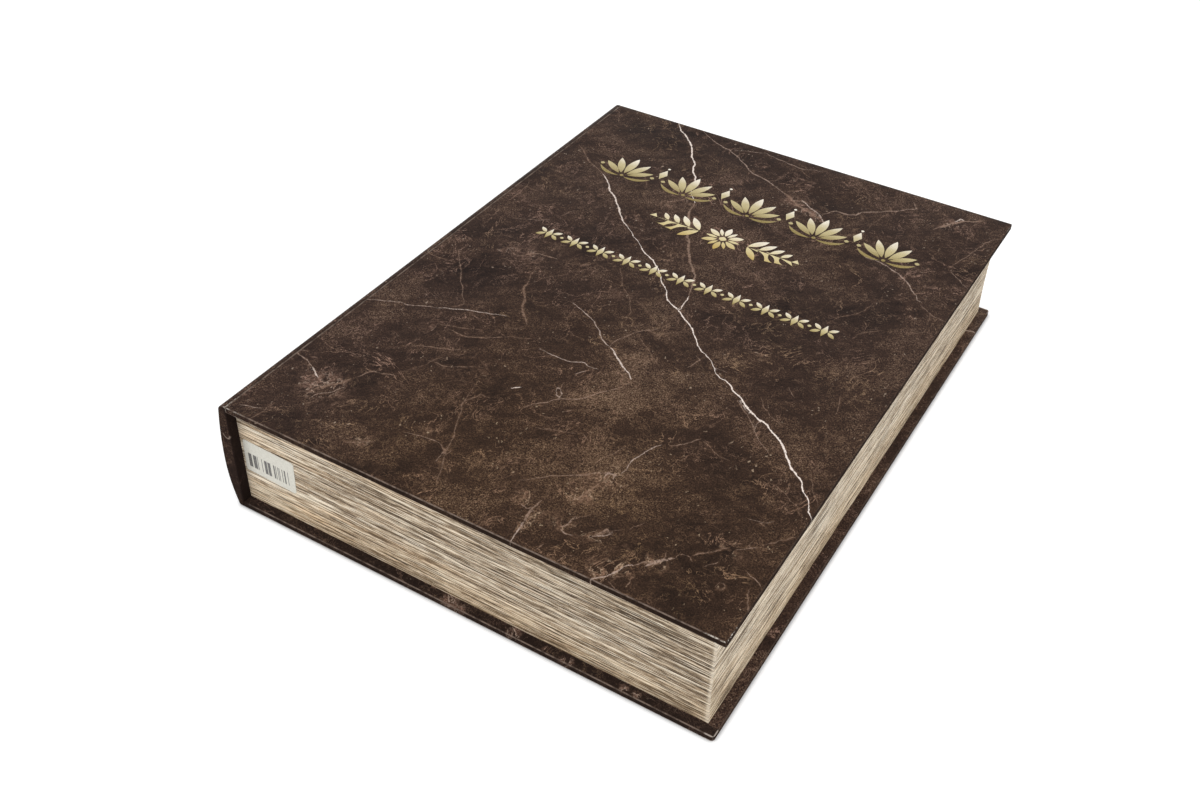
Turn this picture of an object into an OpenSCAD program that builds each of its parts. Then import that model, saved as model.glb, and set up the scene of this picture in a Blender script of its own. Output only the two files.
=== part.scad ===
// Book-shaped box lying flat on its back cover, spine to -X, tail edge to -Y, front cover up.
// Origin: middle of the whole box at the surface it rests on. Millimetres.
// The front cover is the lid. It swings on the paper crease along the top edge of the spine.

/* [Covers] */
// Length of both covers and the spine, tail to head
cover_length = 350; // [200:1:450]
// Width of a cover, from the crease at the spine to the fore-edge
cover_width = 250.5; // [150:0.5:320]
// Thickness of the grey board inside each cover
board_thick = 2.5; // [1.5:0.1:5]
// Rounding of the cover corners at the fore-edge
corner_round = 1.6; // [0.8:0.1:6]
// Gap between the crease and the end of the lid board, which lets the lid swing
crease_gap = 1; // [0.8:0.1:3]

/* [Papers] */
// Thickness of the marble wrapping paper and of the page-edge paper
paper_thick = 0.3; // [0.2:0.05:0.6]
// Width of wrapping paper turned in over the board edges
turn_in = 15; // [8:0.5:30]
// Thickness of the lining papers
lining_thick = 0.2; // [0.1:0.05:0.5]
// Margin of turned-in paper left showing round the lid lining
lining_margin = 4; // [2:0.5:6]

/* [Spine] */
// Depth of the spine at its fattest point
spine_depth = 7.1; // [6:0.1:14]
// Height of the fattest point above the table
belly_height = 27; // [20:0.5:35]
// Depth of the spine at its top, before the edge is rounded
spine_top_depth = 4.2; // [3:0.1:5.5]
// Depth of the spine at its foot, before the edge is rounded
spine_foot_depth = 3; // [2:0.1:5]
// Rounding of the top edge of the spine
spine_top_round = 3.7; // [1:0.1:4]
// Rounding of the foot of the spine
spine_foot_round = 1.5; // [0.8:0.1:1.8]

/* [Tray] */
// Height of the false page block
page_height = 55.1; // [40:0.1:80]
// Overhang of the covers past the page block
overhang = 5.1; // [2:0.1:12]
// Depth of the shallow hollow along the fore-edge of the page block
fore_hollow = 0.8; // [0.2:0.1:2]
// Thickness of the tray walls
wall_thick = 8; // [7:0.5:14]
// Thickness of the tray floor
floor_thick = 3; // [2:0.5:8]
// Width of page-edge paper folded down inside the rim
rim_fold = 8; // [4:0.5:20]

/* [Catch] */
// Diameter of each magnet in the fore-edge wall
magnet_diameter = 5; // [3:0.5:5.5]
// Height of each magnet
magnet_height = 4; // [2:0.5:8]
// Diameter of each steel disc in the lid
disc_diameter = 12; // [6:0.5:14]
// Thickness of each steel disc
disc_thick = 1; // [0.5:0.1:1.2]
// Distance of each catch from the nearer end of the cover
catch_inset = 65; // [20:1:85]
// Clearance round a magnet or disc in its hole
hole_clearance = 0.1; // [0.05:0.05:0.3]

/* [Label] */
// Width of the blank label on the tail edge
label_width = 30; // [15:1:60]
// Height of the label
label_height = 19; // [10:1:30]
// Thickness of the label
label_thick = 0.15; // [0.1:0.05:0.3]
// Height of the label's lower edge above the table
label_lift = 20.2; // [5:0.1:35]
// Turn of the label out of true, degrees
label_tilt = 2; // [0:0.5:5]
// Distance of the label from the spine
label_inset = 0.4; // [0.2:0.1:100]

/* [Hidden] */
round_steps = 96;   // facets drawn on a small circle
arc_steps = 900;    // facets drawn on the long shallow arcs
past = 1;           // how far a cutting shape runs past the face it cuts

crease_x = (spine_depth - cover_width) / 2;
half_length = cover_length / 2;
cover_thick = board_thick + 2 * paper_thick;

tray_bottom = cover_thick;
rim_top = tray_bottom + page_height;
wall_top = rim_top - paper_thick;
lid_bottom = rim_top + lining_thick;
book_height = lid_bottom + cover_thick;

tray_length = cover_width - overhang;
half_tray = half_length - overhang;
half_walls = half_tray - paper_thick;
fore_outer = tray_length - paper_thick;
fore_inner = tray_length - paper_thick - wall_thick;
floor_top = tray_bottom + floor_thick;

// Shallow hollow of the fore-edge: one arc over the page height
hollow_radius = (pow(page_height / 2, 2) + pow(fore_hollow, 2)) / (2 * fore_hollow);
hollow_x = tray_length + hollow_radius - fore_hollow;
hollow_z = tray_bottom + page_height / 2;

// Round back of the spine: two arcs that meet at the belly
upper_rise = book_height - belly_height;
upper_drop = spine_depth - spine_top_depth;
upper_radius = (pow(upper_rise, 2) + pow(upper_drop, 2)) / (2 * upper_drop);
lower_drop = spine_depth - spine_foot_depth;
lower_radius = (pow(belly_height, 2) + pow(lower_drop, 2)) / (2 * lower_drop);

catch_x = (fore_outer + fore_inner) / 2;
catch_y = half_length - catch_inset;

marble = [0.24, 0.18, 0.15];
greyboard = [0.62, 0.58, 0.52];
fibreboard = [0.66, 0.52, 0.36];
page_tone = [0.78, 0.69, 0.57];
lining_tone = [0.16, 0.12, 0.10];
steel = [0.72, 0.72, 0.74];

// Everything is drawn with the crease at x = 0, then moved to its place
module place() {
    translate([crease_x, 0, 0]) children();
}

// A block between two x values and two z values, centred on y
module block(x0, x1, half_y, z0, z1) {
    translate([x0, -half_y, z0]) cube([x1 - x0, 2 * half_y, z1 - z0]);
}

// A cover-shaped plate with its two fore-edge corners rounded
module plate(x0, x1, half_y, z0, z1, r) {
    translate([0, 0, z0]) linear_extrude(z1 - z0) {
        translate([x0, -half_y]) square([x1 - r - x0, 2 * half_y]);
        translate([x1 - r - past, r - half_y]) square([r + past, 2 * (half_y - r)]);
        for (side = [-1, 1])
            translate([x1 - r, side * (half_y - r)]) circle(r = r, $fn = round_steps);
    }
}

// Turns an outline drawn in x and z into a prism along y, centred
module along_y(half_y) {
    translate([0, half_y, 0]) rotate([90, 0, 0]) linear_extrude(2 * half_y) children();
}

// Removes what is outside a rounded edge, between two directions seen from its centre
module edge_waste(centre, r, from_angle, to_angle) {
    reach = 4 * r;
    mid_angle = (from_angle + to_angle) / 2;
    difference() {
        translate(centre) polygon([
            [0, 0],
            reach * [cos(from_angle), sin(from_angle)],
            2 * reach * [cos(mid_angle), sin(mid_angle)],
            reach * [cos(to_angle), sin(to_angle)]]);
        translate(centre) circle(r = r, $fn = round_steps);
    }
}

// Outline of the spine in x and z, drawn in by the given amount
module spine_outline(inset) {
    upper_centre = [upper_radius - spine_depth, belly_height];
    lower_centre = [lower_radius - spine_depth, belly_height];
    top_z = book_height - spine_top_round;
    foot_z = spine_foot_round;
    top_x = upper_centre[0] - sqrt(pow(upper_radius - spine_top_round, 2) - pow(top_z - belly_height, 2));
    foot_x = lower_centre[0] - sqrt(pow(lower_radius - spine_foot_round, 2) - pow(foot_z - belly_height, 2));
    top_tilt = asin((top_z - belly_height) / (upper_radius - spine_top_round));
    foot_tilt = asin((belly_height - foot_z) / (lower_radius - spine_foot_round));
    difference() {
        union() {
            intersection() {
                translate([-spine_depth, belly_height]) square([spine_depth, upper_rise - inset]);
                translate(upper_centre) circle(r = upper_radius - inset, $fn = arc_steps);
            }
            intersection() {
                translate([-spine_depth, inset]) square([spine_depth, belly_height - inset]);
                translate(lower_centre) circle(r = lower_radius - inset, $fn = arc_steps);
            }
        }
        edge_waste([top_x, top_z], spine_top_round - inset, 90, 180 - top_tilt);
        edge_waste([foot_x, foot_z], spine_foot_round - inset, 180 + foot_tilt, 270);
    }
}

// Outline in x and z that stops at the hollow fore-edge, drawn in by the given amount
module fore_outline(x0, z0, z1, inset) {
    difference() {
        translate([x0, z0]) square([tray_length - x0, z1 - z0]);
        translate([hollow_x, hollow_z]) circle(r = hollow_radius + inset, $fn = arc_steps);
        if (inset > 0)
            translate([tray_length - inset, z0 - past]) square([inset + past, z1 - z0 + 2 * past]);
    }
}

// Places two like pieces at the two catches
module at_catches() {
    for (side = [-1, 1]) translate([catch_x, side * catch_y, 0]) children();
}

// Stiff board of the lid, with a shallow pocket for each steel disc
module front_board() {
    board_bottom = lid_bottom + paper_thick;
    color(greyboard) place() difference() {
        plate(crease_gap, cover_width - paper_thick, half_length - paper_thick,
            board_bottom, board_bottom + board_thick, corner_round - paper_thick);
        at_catches() translate([0, 0, board_bottom - past])
            cylinder(d = disc_diameter + 2 * hole_clearance, h = disc_thick + past, $fn = round_steps);
    }
}

// Marble paper round the lid: face, three edges and turn-ins. It ends at the crease.
module front_wrap() {
    board_bottom = lid_bottom + paper_thick;
    board_top = board_bottom + board_thick;
    color(marble) place() difference() {
        plate(0, cover_width, half_length, lid_bottom, book_height, corner_round);
        plate(crease_gap - past, cover_width - paper_thick, half_length - paper_thick,
            board_bottom, board_top, corner_round - paper_thick);
        block(-past, crease_gap, half_length + past, lid_bottom - past, board_top);
        block(-past, cover_width - turn_in, half_length - turn_in, lid_bottom - past, board_bottom + past / 2);
    }
}

// Dark paper inside the lid. It fills the space between the turn-ins and covers their ends.
module lid_lining() {
    color(lining_tone) place() {
        block(crease_gap, cover_width - lining_margin, half_length - lining_margin, rim_top, lid_bottom);
        block(crease_gap, cover_width - turn_in, half_length - turn_in, rim_top, lid_bottom + paper_thick);
    }
}

// Two steel discs in the underside of the lid board
module lid_catch_discs() {
    color(steel) place() at_catches() translate([0, 0, lid_bottom + paper_thick])
        cylinder(d = disc_diameter, h = disc_thick, $fn = round_steps);
}

// The spine former as a solid. Its inner face stands at the crease, with a step for the turn-ins.
module former_solid(inner_reach) {
    difference() {
        along_y(half_length - paper_thick) {
            spine_outline(paper_thick);
            translate([-past, paper_thick]) square([past + inner_reach, book_height - 2 * paper_thick]);
        }
        for (side = [0, 1]) mirror([0, side, 0])
            translate([-paper_thick, half_length - turn_in, -past])
                cube([paper_thick + inner_reach + past, turn_in + past, book_height + 2 * past]);
    }
}

// Round-backed wooden strip that makes the spine stiff
module spine_former() {
    color(fibreboard) place() former_solid(0);
}

// Marble paper over the spine, its two ends and a short way round on to its inner face
module spine_wrap() {
    color(marble) place() difference() {
        along_y(half_length) spine_outline(0);
        former_solid(past);
    }
}

// Stiff board of the back cover
module back_board() {
    color(greyboard) place() plate(0, cover_width - paper_thick, half_length - paper_thick,
        paper_thick, paper_thick + board_thick, corner_round - paper_thick);
}

// Marble paper round the back cover. Its turn-ins show in the overhang round the pages.
module back_wrap() {
    color(marble) place() difference() {
        plate(0, cover_width, half_length, 0, cover_thick, corner_round);
        plate(-past, cover_width - paper_thick, half_length - paper_thick,
            paper_thick, paper_thick + board_thick, corner_round - paper_thick);
        block(-past, cover_width - turn_in, half_length - turn_in, paper_thick + past, cover_thick + past);
    }
}

// Paper pasted to the back board between the turn-ins. The tray is glued on it.
module back_endpaper() {
    color(lining_tone) place() block(0, cover_width - turn_in, half_length - turn_in,
        cover_thick - paper_thick, cover_thick);
}

// Floor panel, set between the four walls
module tray_floor() {
    color(fibreboard) place() block(wall_thick, fore_inner, half_walls - wall_thick, tray_bottom, floor_top);
}

// Wall glued to the inner face of the spine
module spine_side_wall() {
    color(fibreboard) place() block(0, wall_thick, half_walls, tray_bottom, wall_top);
}

// Wall along the fore-edge: hollow outside, with a hole in its top for each magnet
module fore_edge_wall() {
    color(fibreboard) place() difference() {
        along_y(half_walls) fore_outline(fore_inner, tray_bottom, wall_top, paper_thick);
        at_catches() translate([0, 0, wall_top - magnet_height])
            cylinder(d = magnet_diameter + 2 * hole_clearance, h = magnet_height + past, $fn = round_steps);
    }
}

// One end wall, butted between the two long walls
module end_wall() {
    translate([0, half_walls - wall_thick, 0])
        translate([wall_thick, 0, tray_bottom])
            cube([fore_inner - wall_thick, wall_thick, wall_top - tray_bottom]);
}

// Wall along the tail
module tail_wall() {
    color(fibreboard) place() mirror([0, 1, 0]) end_wall();
}

// Wall along the head
module head_wall() {
    color(fibreboard) place() end_wall();
}

// Two disc magnets let into the top of the fore-edge wall
module tray_magnets() {
    color(steel) place() at_catches() translate([0, 0, wall_top - magnet_height])
        cylinder(d = magnet_diameter, h = magnet_height, $fn = round_steps);
}

// Printed paper that looks like page edges: one strip round tail, fore-edge and head,
// folded over the rim and a short way down inside
module page_edge_paper() {
    inner_x = fore_inner - paper_thick;
    inner_y = half_walls - wall_thick - paper_thick;
    color(page_tone) place() difference() {
        along_y(half_tray) fore_outline(0, tray_bottom, rim_top, 0);
        along_y(half_walls) difference() {
            translate([-past, tray_bottom - past]) square([fore_outer + past, wall_top - tray_bottom + past]);
            translate([hollow_x, hollow_z]) circle(r = hollow_radius + paper_thick, $fn = arc_steps);
        }
        block(wall_thick, inner_x, inner_y, tray_bottom, rim_top + past);
        block(-past, wall_thick, half_walls - wall_thick, wall_top - past, rim_top + past);
    }
    color(page_tone) place() difference() {
        block(wall_thick, fore_inner, half_walls - wall_thick, rim_top - rim_fold, wall_top);
        block(wall_thick - past, inner_x, inner_y, rim_top - rim_fold - past, rim_top);
    }
}

// Dark cloth over the rim of the spine-side wall, up into the crease and down inside the tray
module hinge_strip() {
    inner_y = half_walls - wall_thick;
    crease_rise = book_height - 2 * paper_thick;
    color(lining_tone) place() difference() {
        union() {
            block(0, wall_thick + paper_thick, inner_y, wall_top, rim_top);
            block(0, paper_thick, inner_y, wall_top, crease_rise);
            block(wall_thick, wall_thick + paper_thick, inner_y - paper_thick, rim_top - rim_fold, rim_top);
        }
        for (side = [0, 1]) mirror([0, side, 0])
            translate([wall_thick, inner_y - paper_thick, tray_bottom])
                cube([paper_thick + past, paper_thick + past, page_height + past]);
    }
}

// Dark paper round the inside of the tray, from the floor up to the folded-in papers
module wall_lining() {
    top = rim_top - rim_fold;
    color(lining_tone) place() difference() {
        block(wall_thick, fore_inner, half_walls - wall_thick, floor_top, top);
        block(wall_thick + lining_thick, fore_inner - lining_thick, half_walls - wall_thick - lining_thick,
            floor_top - past, top + past);
    }
}

// Dark paper on the tray floor
module floor_lining() {
    color(lining_tone) place() block(wall_thick + lining_thick, fore_inner - lining_thick,
        half_walls - wall_thick - lining_thick, floor_top, floor_top + lining_thick);
}

// Blank paper label on the tail edge, by the spine, stuck on slightly crooked
module edge_label() {
    swing = label_height * sin(label_tilt);
    color("white") place() translate([label_inset + swing, -half_tray, label_lift + label_width * sin(label_tilt)])
        rotate([0, label_tilt, 0]) translate([0, -label_thick, 0])
            cube([label_width, label_thick, label_height]);
}

front_board();
front_wrap();
lid_lining();
lid_catch_discs();
spine_former();
spine_wrap();
back_board();
back_wrap();
back_endpaper();
tray_floor();
spine_side_wall();
fore_edge_wall();
tail_wall();
head_wall();
tray_magnets();
page_edge_paper();
hinge_strip();
wall_lining();
floor_lining();
edge_label();
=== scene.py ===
import math

import bmesh
import bpy
import numpy as np
from mathutils import Matrix, Vector


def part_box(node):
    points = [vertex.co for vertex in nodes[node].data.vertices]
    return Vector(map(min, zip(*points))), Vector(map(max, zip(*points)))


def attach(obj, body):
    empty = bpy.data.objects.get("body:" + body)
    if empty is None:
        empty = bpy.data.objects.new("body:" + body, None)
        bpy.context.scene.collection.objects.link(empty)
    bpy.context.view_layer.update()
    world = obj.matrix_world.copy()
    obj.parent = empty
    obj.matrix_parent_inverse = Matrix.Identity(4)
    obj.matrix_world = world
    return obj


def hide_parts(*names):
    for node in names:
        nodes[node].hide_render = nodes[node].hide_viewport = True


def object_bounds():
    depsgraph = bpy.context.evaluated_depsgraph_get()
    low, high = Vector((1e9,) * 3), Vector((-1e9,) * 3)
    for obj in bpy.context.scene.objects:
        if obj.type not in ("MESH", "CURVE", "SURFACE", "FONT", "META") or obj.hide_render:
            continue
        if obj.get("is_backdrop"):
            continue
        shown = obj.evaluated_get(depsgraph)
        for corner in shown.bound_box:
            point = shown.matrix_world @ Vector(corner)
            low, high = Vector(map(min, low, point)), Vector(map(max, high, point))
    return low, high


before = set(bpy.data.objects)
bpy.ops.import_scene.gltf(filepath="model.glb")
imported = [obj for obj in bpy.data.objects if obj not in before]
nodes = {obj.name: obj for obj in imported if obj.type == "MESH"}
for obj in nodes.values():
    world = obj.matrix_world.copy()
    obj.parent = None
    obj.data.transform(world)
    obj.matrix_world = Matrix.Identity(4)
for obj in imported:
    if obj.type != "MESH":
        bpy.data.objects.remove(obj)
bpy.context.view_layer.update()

MM = 0.001
scene = bpy.context.scene
scene.view_settings.view_transform = "Standard"

# Camera. It stands where the long edges of the covers and of the page block meet their places in the
# 1200 x 798 photograph: in front of the tail edge, towards the fore-edge, looking down at the cover.
PHOTO_WIDTH, PHOTO_HEIGHT = 1200, 798
camera_place = Vector((241.9, -474.8, 439.1)) * MM
camera_azimuth = math.radians(29.73)
camera_elevation = math.radians(39.62)
camera_roll = math.radians(2.08)
focal_pixels = 1302.0
sensor_width = 36.0

camera_back = Vector((
    math.sin(camera_azimuth) * math.cos(camera_elevation),
    -math.cos(camera_azimuth) * math.cos(camera_elevation),
    math.sin(camera_elevation),
))
level_right = Vector((math.cos(camera_azimuth), math.sin(camera_azimuth), 0.0))
level_up = camera_back.cross(level_right)
camera_right = math.cos(camera_roll) * level_right + math.sin(camera_roll) * level_up
camera_up = math.cos(camera_roll) * level_up - math.sin(camera_roll) * level_right

camera_data = bpy.data.cameras.new("photo_camera")
camera_data.sensor_width = sensor_width
camera_data.lens = focal_pixels / PHOTO_WIDTH * sensor_width
camera_data.clip_start = 0.01
camera = bpy.data.objects.new("photo_camera", camera_data)
turn = Matrix((camera_right, camera_up, camera_back)).transposed()
camera.matrix_world = Matrix.Translation(camera_place) @ turn.to_4x4()
scene.collection.objects.link(camera)
scene.camera = camera

# Studio. A white table under white air, with a faint shadow where the box meets the table. Three large
# soft lamps light the box, and the air adds just enough light of its own to fill the shadows.
FLOOR_SIZE = 12.0
AIR_LIGHT = 0.50
# The table glows a little where it is clear of the box by the reach, and more with the distance, which is
# given in metres as the rest here.
CONTACT_REACH, CONTACT_GLOW = 0.0025, 0.56
HAZE_START, HAZE_END, HAZE_GLOW = 0.6, 2.5, 0.4
table_grey = (0.8, 0.8, 0.8, 1)
shadow_grey = (0.65, 0.65, 0.65, 1)


def add(tree, kind, links=None, **settings):
    """Adds a shader node, sets its properties, and joins or sets its inputs."""
    node = tree.nodes.new("ShaderNode" + kind)
    for key, value in settings.items():
        setattr(node, key, value)
    for socket, value in (links or {}).items():
        if isinstance(value, bpy.types.NodeSocket):
            tree.links.new(value, node.inputs[socket])
        else:
            node.inputs[socket].default_value = value
    return node


def calc(tree, operation, first, second=0.0):
    return add(tree, "Math", {0: first, 1: second}, operation=operation).outputs[0]


def vector(tree, operation, first, second=(0, 0, 0)):
    """Outputs of a step with vectors: the vector comes first, and a length or distance is called Value."""
    return add(tree, "VectorMath", {0: first, 1: second}, operation=operation).outputs


def remap(tree, value, low, high, to_low=0.0, to_high=1.0, steps="LINEAR"):
    return add(tree, "MapRange", {
        "Value": value, "From Min": low, "From Max": high, "To Min": to_low, "To Max": to_high,
    }, interpolation_type=steps).outputs["Result"]


def seen_plainly(tree):
    """1 for rays from the camera, and for those that a mirror or a glass passes on, and 0 for light."""
    path = add(tree, "LightPath").outputs
    passed_on = calc(tree, "MAXIMUM", path["Is Glossy Ray"], path["Is Transmission Ray"])
    return calc(tree, "MAXIMUM", path["Is Camera Ray"], passed_on)


bpy.ops.object.select_all(action="DESELECT")
bpy.ops.mesh.primitive_plane_add(size=FLOOR_SIZE, location=(0, 0, 0))
floor = bpy.context.active_object
floor.name = "studio_floor"
floor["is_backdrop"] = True

floor_paint = bpy.data.materials.new("studio_white")
floor_paint.use_nodes = True
tree = floor_paint.node_tree
tree.nodes.clear()
plain = add(tree, "BsdfDiffuse", {"Color": table_grey})
shadowed = add(tree, "BsdfDiffuse", {"Color": shadow_grey})
nearby = add(tree, "AmbientOcclusion", {"Distance": CONTACT_REACH}, samples=8).outputs["AO"]
nearby = remap(tree, nearby, 0.5, 0.95, 0.0, CONTACT_GLOW)
far = vector(tree, "LENGTH", add(tree, "TexCoord").outputs["Object"])["Value"]
far = remap(tree, far, HAZE_START, HAZE_END, 0.0, HAZE_GLOW)
glow = add(tree, "Emission", {"Strength": calc(tree, "ADD", nearby, far)})
white = add(tree, "AddShader", {0: shadowed.outputs[0], 1: glow.outputs[0]})
choice = add(tree, "MixShader", {
    0: seen_plainly(tree), 1: plain.outputs[0], 2: white.outputs[0]})
add(tree, "OutputMaterial", {"Surface": choice.outputs[0]})
floor.data.materials.append(floor_paint)

world = bpy.data.worlds.new("studio_air")
scene.world = world
world.use_nodes = True
air = world.node_tree.nodes["Background"]
air.inputs["Color"].default_value = (1, 1, 1, 1)
strength = remap(world.node_tree, seen_plainly(world.node_tree), 0.0, 1.0, AIR_LIGHT, 1.0)
world.node_tree.links.new(strength, air.inputs["Strength"])

for lamp_name, place, size, power in (
    ("overhead_softbox", (0.3, -0.2, 1.7), 1.5, 11.0),
    ("fore_edge_softbox", (1.6, -0.9, 0.75), 1.2, 15.0),
    ("tail_softbox", (-0.9, -1.5, 0.8), 1.2, 10.0),
):
    lamp_data = bpy.data.lights.new(lamp_name, "AREA")
    lamp_data.shape = "SQUARE"
    lamp_data.size = size
    lamp_data.energy = power
    lamp = bpy.data.objects.new(lamp_name, lamp_data)
    lamp.location = place
    lamp.rotation_euler = (-Vector(place)).to_track_quat("-Z", "Y").to_euler()
    scene.collection.objects.link(lamp)

# Boards and spine former. Two stiff boards and a round-backed wooden strip stiffen the case. The marble
# paper hides them, apart from one edge of the lid's board, which shows in the crease. The lid's board is
# coloured dark as painted shade for that crease.


def fade(tree, value, low, high, to_low=0.0, to_high=1.0):
    """A smooth step of value from low to high."""
    return remap(tree, value, low, high, to_low, to_high, "SMOOTHSTEP")


def mix(tree, factor, first, second, mode="MIX"):
    node = add(tree, "Mix", {0: factor, 6: first, 7: second}, data_type="RGBA", blend_type=mode)
    return node.outputs[2]


def noise(tree, place, scale, detail=4.0, rough=0.55, distortion=0.0):
    """Fractal noise. A scale of three numbers stretches it along the axes."""
    if isinstance(scale, tuple):
        place = add(tree, "Mapping", {"Vector": place, "Scale": scale}).outputs[0]
        scale = 1.0
    return add(tree, "TexNoise", {
        "Vector": place, "Scale": scale, "Detail": detail, "Roughness": rough, "Distortion": distortion,
    }).outputs[0]


def new_material(name, roughness, specular=0.3, metallic=0.0):
    """A material with a Principled shader. Returns the material, its tree, the shader and the place."""
    material = bpy.data.materials.new(name)
    material.use_nodes = True
    tree = material.node_tree
    shader = tree.nodes["Principled BSDF"]
    shader.inputs["Roughness"].default_value = roughness
    shader.inputs["Specular IOR Level"].default_value = specular
    shader.inputs["Metallic"].default_value = metallic
    return material, tree, shader, add(tree, "TexCoord").outputs["Object"]


def relief(tree, shader, height, strength, depth=0.1 * MM):
    bump = add(tree, "Bump", {"Strength": strength, "Distance": depth, "Height": height})
    tree.links.new(bump.outputs[0], shader.inputs["Normal"])


def fibrous(name, dark, light, scale, roughness, members, strength=0.3, specular=0.3, metallic=0.0):
    """A plain stuff for the named CAD nodes, whose colour and surface change with its fibres or grain."""
    material, tree, shader, place = new_material(name, roughness, specular, metallic)
    fibre = noise(tree, place, scale, 5, 0.65)
    tree.links.new(mix(tree, fade(tree, fibre, 0.32, 0.68), dark, light), shader.inputs["Base Color"])
    relief(tree, shader, fibre, strength)
    for member in members:
        nodes[member].data.materials.clear()
        nodes[member].data.materials.append(material)


fibrous("grey_board", (0.20, 0.175, 0.145, 1), (0.36, 0.32, 0.27, 1), 600, 0.9, ("back_board",))
# Painted shade: the lid's board is coloured dark for the crease where its edge shows.
fibrous("crease_shade_board", (0.014, 0.010, 0.008, 1), (0.034, 0.025, 0.019, 1), 600, 0.9, ("front_board",))
fibrous("wooden_former", (0.30, 0.19, 0.105, 1), (0.46, 0.31, 0.18, 1), (300, 14, 300), 0.7,
        ("spine_former",))

# Marble print. The case is covered with one sheet of matt laminated paper, printed as dark brown marble:
# brown clouds, fine grain, pale flecks and hair cracks. The front cover's own veins come further down.
MARBLE_TONES = (
    (0.28, (0.0150, 0.0096, 0.0084, 1)),
    (0.45, (0.0380, 0.0225, 0.0175, 1)),
    (0.60, (0.0650, 0.0385, 0.0280, 1)),
    (0.74, (0.1180, 0.0735, 0.0510, 1)),
    (0.92, (0.2400, 0.1650, 0.1220, 1)),
)
gold_tan = (0.36, 0.235, 0.150, 1)
rosy_tan = (0.36, 0.225, 0.172, 1)
rosy_brown = (0.100, 0.058, 0.042, 1)
crack_brown = (0.012, 0.008, 0.007, 1)
flake_cream = (0.46, 0.34, 0.27, 1)
fleck_cream = (0.38, 0.29, 0.225, 1)
STREAK_TURN = math.radians(-39)


def new_group(name, inputs, outputs):
    group = bpy.data.node_groups.new(name, "ShaderNodeTree")
    for in_out, sockets in (("INPUT", inputs), ("OUTPUT", outputs)):
        for socket, kind in sockets.items():
            group.interface.new_socket(socket, in_out=in_out, socket_type="NodeSocket" + kind)
    return group, group.nodes.new("NodeGroupInput").outputs, group.nodes.new("NodeGroupOutput").inputs


def chain(tree, operation, result, *others):
    for other in others:
        result = calc(tree, operation, result, other)
    return result


def times(tree, *values):
    return chain(tree, "MULTIPLY", *values)


def plus(tree, *values):
    return chain(tree, "ADD", *values)


def rest_of(tree, share):
    return calc(tree, "SUBTRACT", 1.0, share)


def swing(tree, layer, strength):
    """A noise that swings about zero by some strength, and not about one half."""
    return times(tree, calc(tree, "SUBTRACT", layer, 0.5), strength)


def hair_line(tree, value, level, width):
    """A thin line where value crosses a level: the contour of a noise, which wanders as a crack does."""
    return fade(tree, calc(tree, "ABSOLUTE", calc(tree, "SUBTRACT", value, level)), 0.0, width, 1, 0)


def tone_ramp(tree, value, tones):
    """The colour at a value, between tones given by their places and colours."""
    ramp = add(tree, "ValToRGB", {0: value})
    elements = ramp.color_ramp.elements
    while len(elements) < len(tones):
        elements.new(0.5)
    for element, (position, color) in zip(elements, tones):
        element.position = position
        element.color = color
    return ramp.outputs["Color"]


marble, given, made = new_group(
    "marble_print", {"Vector": "Vector", "Pale": "Float", "Rosy": "Float"},
    {"Color": "Color", "Grain": "Float"})
place = given["Vector"]
turned = add(marble, "Mapping", {"Vector": place, "Rotation": (0, 0, STREAK_TURN)}).outputs[0]
clouds = noise(marble, place, (14, 20, 14), 5, 0.60, 0.8)
mottles = noise(marble, place, (75, 55, 60), 8, 0.78, 1.2)
streaks = noise(marble, turned, (26, 150, 60), 6, 0.72, 0.6)
speckle = noise(marble, place, 620, 3, 0.9)
grain = noise(marble, place, 1500, 1, 0.9)
patches = fade(marble, noise(marble, place, (30, 38, 30), 7, 0.70, 0.6), 0.46, 0.53)
depth = plus(marble, 0.485, times(marble, given["Pale"], 0.11))
for layer, strength in ((clouds, 0.46), (patches, 0.07), (mottles, 0.36), (streaks, 0.40)):
    depth = plus(marble, depth, swing(marble, layer, strength))
grit_strength = fade(marble, depth, 0.42, 0.58, 0.42, 1.20)
for layer, strength in ((speckle, 0.50), (grain, 1.15)):
    depth = plus(marble, depth, times(marble, swing(marble, layer, strength), grit_strength))
ground = tone_ramp(marble, depth, MARBLE_TONES)
tan = mix(marble, fade(marble, noise(marble, place, 22, 2, 0.5), 0.36, 0.54), gold_tan, rosy_tan)
for crack_scale, level, crack_width, crack_strength, gate_scale in (
    ((16, 23, 18), 0.50, 0.0040, 0.90, 30),
    ((42, 30, 36), 0.47, 0.0055, 0.85, 60),
    ((95, 120, 100), 0.52, 0.0085, 0.45, 90),
    ((60, 44, 50), 0.55, 0.0060, 0.75, 42),
    ((170, 125, 150), 0.46, 0.0100, 0.35, 130),
):
    crack = hair_line(marble, noise(marble, place, crack_scale, 6, 0.62, 1.1), level, crack_width)
    gate = fade(marble, noise(marble, place, gate_scale, 3, 0.6), 0.49, 0.60, 0, crack_strength)
    ground = mix(marble, times(marble, crack, gate), ground, tan)
dark_crack = hair_line(marble, noise(marble, place, (34, 24, 30), 7, 0.66, 1.6), 0.56, 0.010)
dark_crack = times(marble, dark_crack, fade(marble, mottles, 0.42, 0.60, 0, 0.75))
ground = mix(marble, dark_crack, ground, crack_brown)
frays = noise(marble, place, (125, 95, 110), 3, 0.55, 1.3)
rosy = times(marble, given["Rosy"], fade(marble, frays, 0.50, 0.53, 0, 0.75))
rosy_print = mix(marble, fade(marble, speckle, 0.46, 0.62), rosy_brown, rosy_tan)
ground = mix(marble, rosy, ground, rosy_print)
flakes = times(
    marble, hair_line(marble, frays, 0.50, 0.022), fade(marble, speckle, 0.42, 0.54, 0.15, 1.0),
    fade(marble, given["Rosy"], 0.25, 0.70))
ground = mix(marble, flakes, ground, flake_cream)
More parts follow.
